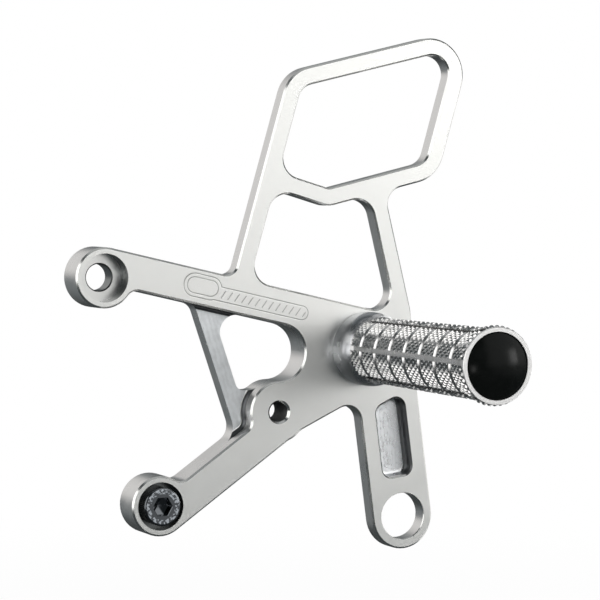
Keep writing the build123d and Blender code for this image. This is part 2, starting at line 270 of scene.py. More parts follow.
def feed(tree, kind, feeds=None, **settings):
    """New node with its settings, and its inputs fed from sockets or set to constants."""
    made = tree.nodes.new(kind)
    for name, value in settings.items():
        setattr(made, name, value)
    for name, value in (feeds or {}).items():
        if isinstance(value, bpy.types.NodeSocket):
            tree.links.new(value, made.inputs[name])
        else:
            made.inputs[name].default_value = value
    return made


def reckon(tree, operation, *values):
    """Math node's result from sockets or numbers."""
    return feed(tree, "ShaderNodeMath", dict(enumerate(values)), operation=operation).outputs[0]


def apart(tree, first, second):
    """Absolute difference of two sockets or numbers."""
    return reckon(tree, "ABSOLUTE", reckon(tree, "SUBTRACT", first, second))


def vector(tree, operation, *values):
    """Vector Math node's result: a value for a length or a dot product, or else a vector."""
    made = feed(tree, "ShaderNodeVectorMath", dict(enumerate(values)), operation=operation)
    return made.outputs["Value" if operation in ("LENGTH", "DOT_PRODUCT") else "Vector"]


def join(tree, x=0.0, y=0.0, z=0.0):
    """Vector of three sockets or numbers."""
    return feed(tree, "ShaderNodeCombineXYZ", {"X": x, "Y": y, "Z": z}).outputs["Vector"]


def split(tree, value):
    """A vector's sockets X, Y and Z."""
    return feed(tree, "ShaderNodeSeparateXYZ", {"Vector": value}).outputs


def noise(tree, place, scale, detail, roughness=0.5):
    feeds = {"Vector": place, "Scale": scale, "Detail": detail, "Roughness": roughness}
    return feed(tree, "ShaderNodeTexNoise", feeds).outputs["Fac"]


def between(tree, value, low, high, start=0.0, end=1.0, kind="SMOOTHSTEP"):
    """Value that goes from start at low to end at high."""
    feeds = {"Value": value, "From Min": low, "From Max": high, "To Min": start, "To Max": end}
    return feed(tree, "ShaderNodeMapRange", feeds, interpolation_type=kind).outputs["Result"]


def blend(tree, factor, first, second):
    """Colour mixed from two colours by a factor."""
    first, second = (
        value if isinstance(value, bpy.types.NodeSocket) else (*value, 1.0)
        for value in (first, second)
    )
    feeds = {"Factor": factor, 6: first, 7: second}
    return feed(tree, "ShaderNodeMix", feeds, data_type="RGBA").outputs[2]


def millimetres(tree):
    """Object coordinates in millimetres."""
    place = tree.nodes.new("ShaderNodeTexCoord").outputs["Object"]
    feeds = {0: place, "Scale": 1 / MM}
    return feed(tree, "ShaderNodeVectorMath", feeds, operation="SCALE").outputs["Vector"]


def effect(name, inputs, outputs):
    """New shader node group, its given sockets, the sockets of its result, and its maths."""
    group = bpy.data.node_groups.new(name, "ShaderNodeTree")
    for socket_name, default in inputs.items():
        kind = "NodeSocketVector" if isinstance(default, tuple) else "NodeSocketFloat"
        socket = group.interface.new_socket(socket_name, in_out="INPUT", socket_type=kind)
        socket.default_value = default
    for socket_name in outputs:
        group.interface.new_socket(socket_name, in_out="OUTPUT", socket_type="NodeSocketFloat")
    given = group.nodes.new("NodeGroupInput").outputs
    return group, given, group.nodes.new("NodeGroupOutput").inputs, partial(reckon, group)


def place_effect(tree, name, output, **feeds):
    """One output of a shared effect that is placed in a material with its own values."""
    made = feed(tree, "ShaderNodeGroup", feeds, node_tree=bpy.data.node_groups[name])
    return made.outputs[output]


def make_fine_grain():
    """Even grain of a blasted or tumbled surface, as a height and a tone."""
    group, given, result, solve = effect(
        "fine_grain", {"Place": ORIGIN, "Grain": 0.2}, ("Height", "Tone")
    )
    scale = solve("DIVIDE", 1.0, given["Grain"])
    group.links.new(noise(group, given["Place"], scale, 2.0, 0.6), result["Height"])
    group.links.new(noise(group, given["Place"], 0.11, 3.0, 0.55), result["Tone"])


def make_drawn_lines():
    """Fine lines drawn along a surface, as a height: the place is squeezed along them."""
    group, given, result, solve = effect(
        "drawn_lines", {"Place": ORIGIN, "Squeeze": (1.0, 1.0, 1.0), "Spacing": 0.3}, ("Height",)
    )
    squeezed = vector(group, "MULTIPLY", given["Place"], given["Squeeze"])
    scale = solve("DIVIDE", 1.0, given["Spacing"])
    group.links.new(noise(group, squeezed, scale, 3.0, 0.7), result["Height"])


def make_contour_marks():
    """Uneven rounds that a cutter leaves about a straight path, as a height and a tone."""
    group, given, result, solve = effect(
        "contour_marks",
        {"Place": ORIGIN, "Origin": ORIGIN, "Angle": 0.0, "Length": 14.0, "Step": 0.6},
        ("Height", "Tone"),
    )
    feeds = {"Vector": given["Place"], "Center": given["Origin"], "Angle": given["Angle"]}
    turned = feed(group, "ShaderNodeVectorRotate", feeds, rotation_type="Y_AXIS")
    offset = split(group, vector(group, "SUBTRACT", turned.outputs["Vector"], given["Origin"]))
    path = join(group, offset["X"], offset["Z"])
    ahead = solve("SUBTRACT", offset["X"], given["Length"])
    behind = solve("MULTIPLY", offset["X"], -1.0)
    over = solve("MAXIMUM", solve("MAXIMUM", ahead, 0.0), behind)
    away = vector(group, "LENGTH", join(group, over, offset["Z"]))
    shifted = solve("MULTIPLY_ADD", noise(group, path, 0.22, 3.0), 3.0, away)
    turns = solve("DIVIDE", solve("MULTIPLY", shifted, 2 * pi), given["Step"])
    wave = solve("SINE", turns)
    fine = noise(group, path, 0.3, 3.0)
    group.links.new(solve("MULTIPLY", wave, fine), result["Height"])
    patches = solve("MULTIPLY_ADD", fine, 0.8, solve("MULTIPLY", wave, 0.07))
    group.links.new(between(group, patches, 0.22, 0.56), result["Tone"])


def make_ring_marks():
    """Fine rings that a lathe or a drill leaves round an axis, as a height."""
    group, given, result, solve = effect(
        "ring_marks", {"Place": ORIGIN, "Centre": ORIGIN, "Spacing": 0.2}, ("Height",)
    )
    offset = split(group, vector(group, "SUBTRACT", given["Place"], given["Centre"]))
    radius = vector(group, "LENGTH", join(group, x=offset["X"], z=offset["Z"]))
    turn = solve("ARCTAN2", offset["Z"], offset["X"])
    sample = join(group, radius, offset["Y"], solve("MULTIPLY", turn, 0.06))
    scale = solve("DIVIDE", 1.0, given["Spacing"])
    group.links.new(noise(group, sample, scale, 3.0, 0.7), result["Height"])


def make_carved_strip():
    """Carved outline of a plain strip with a rounder head, and slanted dashes, as a mask."""
    group, given, result, solve = effect(
        "carved_strip", {"Place": ORIGIN, "Width": 0.42}, ("Groove",)
    )
    height_on_arm = 3.45
    head_start, head_end, head_radius, head_lift, head_wall = 31.9, 38.0, 3.95, 1.1, 1.25
    strip_end, strip_radius = 73.0, 2.4
    dash_spacing, dash_lean, dash_margin = 2.6, 0.45, 1.0

    def reach(direction):
        return vector(group, "DOT_PRODUCT", given["Place"], direction)

    along = reach((cos(UPPER_ARM_ANGLE), 0.0, sin(UPPER_ARM_ANGLE)))
    across = reach((-sin(UPPER_ARM_ANGLE), 0.0, cos(UPPER_ARM_ANGLE)))
    across = solve("SUBTRACT", across, height_on_arm)

    def capsule(first, last, radius, lift):
        """Signed distance to a rounded bar along the arm."""
        offset = apart(group, along, (first + last) / 2)
        over = solve("MAXIMUM", solve("SUBTRACT", offset, (last - first) / 2), 0.0)
        aside = solve("SUBTRACT", across, lift)
        return solve("SUBTRACT", vector(group, "LENGTH", join(group, over, aside)), radius)

    head = capsule(head_start, head_end, head_radius, head_lift)
    strip = capsule(head_end, strip_end, strip_radius, 0.0)
    outer = solve("ABSOLUTE", solve("MINIMUM", head, strip))
    inner = solve("ABSOLUTE", solve("ADD", head, head_wall))
    half_width = solve("MULTIPLY", given["Width"], 0.5)
    outline = solve("SUBTRACT", solve("MINIMUM", outer, inner), half_width)
    lean = solve("SUBTRACT", along, solve("MULTIPLY", across, dash_lean))
    dash = apart(group, solve("FLOORED_MODULO", lean, dash_spacing), dash_spacing / 2)
    in_strip = solve("ADD", strip, dash_margin)
    off_head = solve("SUBTRACT", dash_margin, head)
    dashes = solve("SUBTRACT", dash, half_width)
    dashes = solve("MAXIMUM", dashes, solve("MAXIMUM", in_strip, off_head))
    groove = between(group, solve("MINIMUM", outline, dashes), -0.06, 0.08, 1.0, 0.0)
    outer_face = between(group, reach((0.0, -1.0, 0.0)), FACE - 0.4, FACE - 0.2)
    group.links.new(solve("MULTIPLY", groove, outer_face), result["Groove"])


def marks(name, output, **values):
    """Function of a material's tree and place that gives one output of a shared effect."""

    def placed(tree, place):
        return place_effect(tree, name, output, Place=place, **values)

    return placed


def axis_point(centre):
    """Point on the back face where an axis through the plate leaves it."""
    return (centre[0], 0.0, centre[1])


def rings(centre, spacing):
    """Height of lathe or drill rings round an axis."""
    return marks("ring_marks", "Height", Centre=axis_point(centre), Spacing=spacing)


def contours(foot, angle, length, step):
    """Height and tone of a cutter's rounds about a path of a length from its foot."""
    values = {"Origin": axis_point(foot), "Angle": angle, "Length": length, "Step": step}
    return [marks("contour_marks", output, **values) for output in ("Height", "Tone")]


def carved_height(width, depth, grain, grain_depth):
    """Satin grain with the carved strip sunk in it; all four sizes in mm."""

    def height(tree, place):
        groove = place_effect(tree, "carved_strip", "Groove", Place=place, Width=width)
        fine = place_effect(tree, "fine_grain", "Height", Place=place, Grain=grain)
        fine = reckon(tree, "MULTIPLY", fine, grain_depth)
        return reckon(tree, "SUBTRACT", fine, reckon(tree, "MULTIPLY", groove, depth))

    return height


def outside_ring(centre, inner, outer):
    """Mask that leaves out a speckled ring round an axis, in mm."""

    def mask(tree, place):
        offset = vector(tree, "SUBTRACT", place, axis_point(centre))
        radius = vector(tree, "LENGTH", vector(tree, "MULTIPLY", offset, (1.0, 0.0, 1.0)))
        aside = apart(tree, radius, (inner + outer) / 2)
        half = (outer - inner) / 2
        ring = between(tree, aside, half - 0.2, half, 1.0, 0.0)
        spots = between(tree, noise(tree, place, 1.1, 2.0), 0.46, 0.56)
        return reckon(tree, "SUBTRACT", 1.0, reckon(tree, "MULTIPLY", ring, spots))

    return mask


def sunk_shade_mask(tree, place):
    """Mask of painted shade deep in the knurl and the grooves, from the piece's own attribute."""
    sunk = feed(tree, "ShaderNodeAttribute", attribute_name="sunk")
    return between(tree, sunk.outputs["Fac"], 0.30, 0.85)


def shaded(tint, part):
    return tuple(channel * part for channel in tint)


def new_material(name):
    material = bpy.data.materials.new(name)
    material.use_nodes = True
    return material, material.node_tree


def set_surface(tree, colour, value, low_rough, high_rough, height, depth):
    """Feed a material's colour, its roughness from a value round 0.5, and a bump in mm."""
    shader = tree.nodes["Principled BSDF"]
    rough = between(tree, value, 0.3, 0.7, low_rough, high_rough, "LINEAR")
    feeds = {"Height": height, "Strength": 1.0, "Distance": depth * MM}
    bump = feed(tree, "ShaderNodeBump", feeds)
    tree.links.new(colour, shader.inputs["Base Color"])
    tree.links.new(rough, shader.inputs["Roughness"])
    tree.links.new(bump.outputs["Normal"], shader.inputs["Normal"])
    return shader


def metal(
    name, tint, roughness, height, depth, tone=None, spread=0.06, faint=0.94, darken=None, darkened_share=0.62
):
    """Metal whose colour and roughness vary a little and whose grain is a height of depth mm.

    height, tone and darken are functions of the tree and the place. A low tone leaves the tint
    the share faint. darken is a mask that leaves the tint the share darkened_share: it paints
    shade in the knurl's cuts and the carved lines, and darkens the screw head.
    """
    material, tree = new_material(name)
    place = millimetres(tree)
    value = tone(tree, place) if tone else noise(tree, place, 0.08, 3.0)
    surface = blend(tree, value, shaded(tint, faint), tint)
    if darken:
        surface = blend(tree, darken(tree, place), surface, shaded(tint, darkened_share))
    low, high = roughness - spread, roughness + spread
    shader = set_surface(tree, surface, value, low, high, height(tree, place), depth)
    shader.inputs["Metallic"].default_value = 1.0
    return material


# Pieces


class FOOTREST_OT_effects(Operator):
    """Make the shader node groups that the materials share"""

    bl_idname = "footrest.effects"
    bl_label = "Shared effects"

    def execute(self, context):
        make_fine_grain()
        make_drawn_lines()
        make_contour_marks()
        make_ring_marks()
        make_carved_strip()
        return {"FINISHED"}


def from_axis(point, centre):
    """Distance in mm of a point in metres from an axis through the plate."""
    return (Vector((point.x, point.z)) / MM - Vector(centre)).length


def in_pocket_rear(point):
    """Whether a point in metres lies in the rear half of the tab's pocket."""
    offset = Vector((point.x, point.z)) / MM - Vector(POCKET_FOOT)
    along = offset.dot(Vector((cos(POCKET_ANGLE), sin(POCKET_ANGLE))))
    across = offset.dot(Vector((-sin(POCKET_ANGLE), cos(POCKET_ANGLE))))
    return -8.0 < across < 0.0 and -7.0 < along < POCKET_LENGTH + 10.0


def bracket_zone(face):
    """Material slot of a bracket face."""
    middle = face.calc_center_median()
    depth = -middle.y / MM
    facing = abs(face.normal.y)
    in_boss = min(from_axis(middle, hole) for hole in (UPPER_HOLE, LOWER_HOLE)) < 8.3
    # The counterbores round the screw holes, all but the upper one's floor, take the dark grey of
    # painted shade
    if in_boss and 0.6 < depth < FACE - 0.01:
        return BORED if facing > 0.9 and from_axis(middle, UPPER_HOLE) < 9.0 else SHADED_RECESS
    if from_axis(middle, PEG) < 5.1:
        return BORED
    if facing > 0.99:
        if abs(depth - WEB_FACE) < 0.01 and face.normal.y < 0:
            return WEB
        return POCKET if abs(depth - POCKET_FLOOR) < 0.01 else SATIN
    # The pocket's rear walls and, below, the web's cove walls take the near black of painted shade
    if depth > POCKET_FLOOR and face.normal.x < -0.3 and in_pocket_rear(middle):
        return SHADED_WALL
    if facing < 0.05:
        return WALL
    if WEB_FACE + 0.05 < depth < WEB_COVE_TOP:
        return SHADED_WALL
    return POCKET if WEB_COVE_TOP < depth < POCKET_COVE_TOP else EDGE


class FOOTREST_OT_bracket(Operator):
    """Dress the milled bracket and cut its pivot thread"""

    bl_idname = "footrest.bracket"
    bl_label = "Bracket"

    def execute(self, context):
        look = context.scene.footrest_bracket
        mesh = bmesh.new()
        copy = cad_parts["bracket"].data.copy()
        copy.attributes.remove(copy.attributes["custom_normal"])
        mesh.from_mesh(copy)
        bpy.data.meshes.remove(copy)
        bmesh.ops.remove_doubles(mesh, verts=mesh.verts, dist=1e-6)
        bore = [
            face
            for face in mesh.faces
            if abs(face.normal.y) < 0.05
            and all(abs(from_axis(v.co, PIVOT) - PIVOT_RADIUS) < 0.03 for v in face.verts)
        ]
        if not bore:
            raise RuntimeError("the bracket has no pivot bore to thread")
        bmesh.ops.delete(mesh, geom=bore, context="FACES")
        for face in mesh.faces:
            face.material_index = bracket_zone(face)
        self.cut_thread(mesh, look.pivot_thread_pitch)
        finish_piece(mesh, "bracket", self.finishes(look), crease=26)
        return {"FINISHED"}

    def finishes(self, look):
        """Materials in the order of the bracket's slots."""
        satin = look.face_colour
        carved = carved_height(look.carving_width, look.carving_depth, 0.16, 0.008)
        carved_line_shade = marks("carved_strip", "Groove", Width=look.carving_width)
        milled = marks("drawn_lines", "Height", Squeeze=(0.05, 1.0, 0.05), Spacing=0.35)
        brushed = marks("drawn_lines", "Height", Squeeze=(0.3, 0.3, 0.3), Spacing=0.3)
        fine = marks("fine_grain", "Height", Grain=0.1)
        web, web_tone = contours(WEB_FOOT, WEB_ANGLE, WEB_LENGTH, 1.7)
        pocket, pocket_tone = contours(POCKET_FOOT, POCKET_ANGLE, POCKET_LENGTH, 1.4)
        return [
            metal(
                "satin_face", satin, look.face_roughness, carved, 1.0,
                # painted shade: the carved lines are darkened to 0.62 of the satin tint
                tone=marks("fine_grain", "Tone"), spread=0.03, darken=carved_line_shade,
            ),
            metal("milled_wall", look.wall_colour, look.wall_roughness, milled, 0.02),
            metal("bright_edge", satin, look.edge_roughness, brushed, 0.0012),
            metal("bored_rings", (0.88, 0.885, 0.87), 0.30, rings(UPPER_HOLE, 0.25), 0.006),
            metal(
                "web_floor", (0.90, 0.93, 0.95), 0.32, web, 0.0025,
                tone=web_tone, spread=0.04, faint=0.86,
            ),
            metal(
                "pocket_floor", (0.95, 0.97, 0.99), 0.33, pocket, 0.004,
                tone=pocket_tone, faint=0.80,
            ),
            # painted shade: the tapped pivot thread is near black, 0.10
            metal("shaded_tapped_thread", (0.10, 0.10, 0.10), 0.34, fine, 0.004),
            # painted shade: the counterbores round the screws are dark grey, 0.20
            metal("shaded_recess_wall", (0.20, 0.21, 0.21), 0.26, rings(LOWER_HOLE, 0.25), 0.006),
            # painted shade: the pocket's rear walls and the web's cove walls are near black, 0.14
            metal("shaded_pocket_wall", (0.14, 0.145, 0.15), 0.34, milled, 0.01),
        ]

    def cut_thread(self, mesh, pitch):
        """Female thread between the pivot's two countersinks."""
        low, high, minor, major = 0.75, 11.95, PIVOT_RADIUS, 3.98
        thread = bmesh.new()
        profile = [(minor, 0.0), (minor, pitch * 0.2), (major, pitch * 0.55)]
        profile += [(major, pitch * 0.65), (minor, pitch)]
        turns = int((high - low) / pitch) + 3
        helix(thread, profile, pitch, low - pitch, turns, 40, material=SHADED_THREAD)
        for level, side in ((low, -1), (high, 1)):
            trim(thread, level, side)
            ledge = [(minor, level), (major + 0.05, level)]
            lathe(thread, ledge, 48, material=SHADED_THREAD, closed=False)
        middle = (low + high) / 2 * MM
        point_faces(thread, -1, lambda height: middle - height)
        thread.transform(outboard(PIVOT, 0))
        pour(thread, mesh)


# The footpeg's sizes above the bracket's face, in millimetres
COLLAR_RADIUS = 12.9
COLLAR_EDGE = 0.4
COLLAR_LAND = 5.2
COLLAR_LENGTH = 11.0
ROOT_RADIUS = 11.35
END_RADIUS = 11.75
FLARE_START = 84.5
FLARE_END = 93.0
FLARE_RADIUS = 12.9
PEG_LENGTH = 95.6
END_RING_RADIUS = 12.35
PLUG_SEAT_RADIUS = 10.8
PLUG_SEAT_FLOOR = 93.4
BORE_RADIUS = 9.25
BASE_THICKNESS = 11.5
BOLT_HOLE_RADIUS = 5.4
GROOVE_DEPTH = 0.9
RING_GROOVES = [19.3 + 11.0 * ring for ring in range(7)]
RING_GROOVE_WIDTH = 2.1
LONG_GROOVES = 6
LONG_GROOVE_ANGLE = radians(174.0)
LONG_GROOVE_WIDTH = 1.7
KNURL_START = 10.7
KNURL_END = 94.9
KNURL_BEND = 11.5
KNURL_ROUND = 2 * pi * KNURL_BEND


def peg_radius(height):
    """Outer radius of the peg's knurled stretch at a height above the bracket."""
    slope = (END_RADIUS - ROOT_RADIUS) / (FLARE_START - COLLAR_LENGTH)
    if height <= FLARE_START:
        return ROOT_RADIUS + slope * (height - COLLAR_LENGTH)
    flare_top = (FLARE_RADIUS, FLARE_END)
    if height <= FLARE_END:
        return arc_radius((END_RADIUS, FLARE_START), flare_top, (slope, 1.0), height)
    return arc_radius(flare_top, (END_RING_RADIUS, PEG_LENGTH), (0.0, 1.0), height)


class FOOTREST_OT_footpeg(Operator):
    """Turn, knurl and groove the footpeg"""

    bl_idname = "footrest.footpeg"
    bl_label = "Footpeg"

    def execute(self, context):
        look = context.scene.footrest_peg
        mesh = bmesh.new()
        self.turn_blank(mesh)
        self.roll_knurl(mesh, look)
        # Depth below the knurl's crest, which the knurled land's material reads to paint shade deep
        # in the cuts
        sunk = mesh.verts.layers.float.new("sunk")
        for vert in mesh.verts:
            height = vert.co.z / MM
            if KNURL_START < height < KNURL_END:
                vert[sunk] = peg_radius(height) - Vector(vert.co.xy).length / MM
        mesh.transform(outboard(PEG, FACE))
        tint = look.metal_colour
        fine = marks("fine_grain", "Height", Grain=0.12)
        materials = [
            # painted shade: the collar is the peg's own turned aluminium, tinted down to about 0.62
            metal(
                "shaded_turned_collar", (0.62, 0.63, 0.65), look.collar_roughness, rings(PEG, 0.16), 0.004,
                spread=0.04,
            ),
            metal(
                "knurled_land", tint, look.knurl_roughness, fine, 0.003,
                # painted shade: deep in the knurl and the grooves the tint is darkened to 0.12 of
                # itself
                spread=0.05, darken=sunk_shade_mask, darkened_share=0.12,
            ),
            # painted shade: the floors of the ring grooves and the long grooves are a darker grey,
            # 0.60
            metal(
                "shaded_groove_floor", (0.60, 0.60, 0.60), 0.26, rings(PEG, 0.3), 0.004, spread=0.05
            ),
            metal("faced_end", (0.95, 0.945, 0.94), 0.34, rings(PEG, 0.12), 0.006, spread=0.03),
        ]
        finish_piece(mesh, "footpeg", materials, crease=28)
        return {"FINISHED"}

    def turn_blank(self, mesh):
        """Collar, groove floors, lip, end ring and bore."""
        floor_end, lip_top, seat_edge = 94.4, 95.35, 0.12
        land = (COLLAR_RADIUS, COLLAR_LAND)
        profile = [(BOLT_HOLE_RADIUS, 0.0), (COLLAR_RADIUS - COLLAR_EDGE, 0.0)]
        profile += [(COLLAR_RADIUS, COLLAR_EDGE), land]
        profile += tangent_arc(land, (ROOT_RADIUS, COLLAR_LENGTH), (0, 1), 14)
        floor = [11.9, 40.0, 70.0, FLARE_START]
        floor += [FLARE_START + step * (floor_end - FLARE_START) / 10 for step in range(1, 11)]
        profile += [(peg_radius(height) - GROOVE_DEPTH, height) for height in floor]
        profile += [
            (peg_radius(KNURL_END) - 0.30, KNURL_END),
            (END_RING_RADIUS, lip_top),
            (END_RING_RADIUS - 0.15, PEG_LENGTH),
            (PLUG_SEAT_RADIUS + seat_edge, PEG_LENGTH),
            (PLUG_SEAT_RADIUS, PEG_LENGTH - seat_edge),
            (PLUG_SEAT_RADIUS, PLUG_SEAT_FLOOR),
            (BORE_RADIUS, PLUG_SEAT_FLOOR),
            (BORE_RADIUS, BASE_THICKNESS),
            (BOLT_HOLE_RADIUS, BASE_THICKNESS),
        ]
        for face in lathe(mesh, profile, 144):
            middle = face.calc_center_median()
            height = middle.z / MM
            radius = middle.xy.length / MM
            if height > PEG_LENGTH - 0.3 and radius > PLUG_SEAT_RADIUS:
                face.material_index = FACED
            elif COLLAR_LENGTH + 0.2 < height < 94.5 and radius > BORE_RADIUS + 0.5:
                face.material_index = SHADED_GROOVE

    def roll_knurl(self, mesh, look):
        """Diamond knurl as a flat sheet, cut into its lands and bent round the peg."""
        columns = 2 * look.diamonds_around
        step = look.diamond_length / 2
        rows = int((KNURL_END - KNURL_START) / step) + 3
        sheet = bmesh.new()
        bmesh.ops.create_grid(sheet, x_segments=columns, y_segments=rows, size=0.5)
        bmesh.ops.translate(sheet, verts=sheet.verts, vec=(0.5, 0.5, 0))
        bmesh.ops.scale(sheet, verts=sheet.verts, vec=(KNURL_ROUND, rows * step, 1))
        bmesh.ops.translate(sheet, verts=sheet.verts, vec=(0, KNURL_START - step, 0))
        half = KNURL_ROUND / columns
        apex = tan(look.flank_angle) * half * step / sqrt(half**2 + step**2)
        tip_share = max(5.0, 100 * (1 - look.knurl_depth / apex))
        peaks = []
        for vert in sheet.verts:
            column = round(vert.co.x / half)
            row = round((vert.co.y - KNURL_START) / step)
            if (column + row) % 2:
                vert.co.z = apex
                peaks.append(vert)
        high = set(peaks)
        for face in list(sheet.faces):
            low = [vert for vert in face.verts if vert not in high]
            bmesh.utils.face_split(face, low[0], low[1])
        bmesh.ops.bevel(
            sheet,
            geom=[v for v in peaks if not v.is_boundary],
            offset=tip_share,
            offset_type="PERCENT",
            affect="VERTICES",
            segments=1,
            profile=0.5,
            material=-1,
        )
        self.cut_lands(sheet, look.knurl_depth)
        rim = [edge for edge in sheet.edges if edge.is_boundary]
        grown = bmesh.ops.extrude_edge_only(sheet, edges=rim)
        for vert in parts_of(grown, bmesh.types.BMVert):
            vert.co.z = look.knurl_depth - GROOVE_DEPTH - 0.12
        for vert in sheet.verts:
            angle = LONG_GROOVE_ANGLE + vert.co.x / KNURL_BEND
            radius = peg_radius(vert.co.y) - look.knurl_depth + vert.co.z
            vert.co = Vector((radius * cos(angle), radius * sin(angle), vert.co.y)) * MM
        for face in sheet.faces:
            face.material_index = KNURLED
        pour(sheet, mesh)

    def cut_lands(self, sheet, depth):
        """Press the ring grooves into the sheet and take the strips over the long ones away."""
        half = RING_GROOVE_WIDTH / 2
        round_peg, along_peg = Vector((1, 0, 0)), Vector((0, 1, 0))
        for height in RING_GROOVES:
            for offset in (-half, 0.05 - half, -0.4, 0.0, 0.4, half - 0.05, half):
                cut(sheet, along_peg, height + offset, reach=1e-5)
        for vert in sheet.verts:
            aside = min(abs(vert.co.y - height) for height in RING_GROOVES)
            if aside < half - 0.02:
                vert.co.z = aside * GROOVE_DEPTH / half + depth - GROOVE_DEPTH + 0.02
        reach = LONG_GROOVE_WIDTH / 2
        middles = [KNURL_ROUND * turn / LONG_GROOVES for turn in range(LONG_GROOVES + 1)]
        bands = [(round_peg, middle - reach, middle + reach) for middle in middles]
        bands += [(along_peg, -PEG_LENGTH, KNURL_START), (along_peg, KNURL_END, 2 * PEG_LENGTH)]
        for direction, low, high in bands:
            for level in (low, high):
                cut(sheet, direction, level, reach=1e-5)
            middles = {face: face.calc_center_median().dot(direction) for face in sheet.faces}
            inside = [face for face, middle in middles.items() if low < middle < high]
            bmesh.ops.delete(sheet, geom=inside, context="FACES")


class FOOTREST_OT_end_plug(Operator):
    """Mould the black domed plug in the peg's end"""

    bl_idname = "footrest.end_plug"
    bl_label = "End plug"

    def execute(self, context):
        look = context.scene.footrest_hardware
        mesh = bmesh.new()
        rim, edge, corner, dome, skirt, wall, length = 10.75, 1.9, 0.12, 3.2, 9.22, 1.6, 7.0
        crown = (0.0, edge + dome)
        profile = [crown] + tangent_arc(crown, (rim - corner, edge), (1, 0), 24)
        profile += [(rim, edge - corner), (rim, 0.0), (skirt, 0.0), (skirt, -length)]
        profile += [(skirt - wall, -length), (skirt - wall, 0.0), (0.0, 0.0)]
        lathe(mesh, profile, 120, closed=False)
        mesh.transform(outboard(PEG, FACE + PLUG_SEAT_FLOOR))
        material, tree = new_material("black_plug")
        place = millimetres(tree)
        cloud = noise(tree, place, 0.35, 4.0)
        tint = look.plug_colour
        colour_here = blend(tree, cloud, tint, shaded(tint, 1.8))
        rough = look.plug_roughness
        fine = place_effect(tree, "fine_grain", "Height", Place=place, Grain=0.25)
        shader = set_surface(tree, colour_here, cloud, rough - 0.05, rough + 0.07, fine, 0.004)
        shader.inputs["Specular IOR Level"].default_value = 0.09
        finish_piece(mesh, "peg_end_plug", [material], crease=30)
        return {"FINISHED"}


# The mounting screw's sizes, in millimetres above and below its head's seat
SEAT = 6.6
HEAD_RADIUS = 6.5
HEAD_HEIGHT = 8.0
HEAD_STEPS = 120
NECK_RADIUS = 3.5
NECK_END = -7.1
SCREW_TIP = -20.0
SOCKET_FLATS = 6.0
SOCKET_DEPTH = 4.0


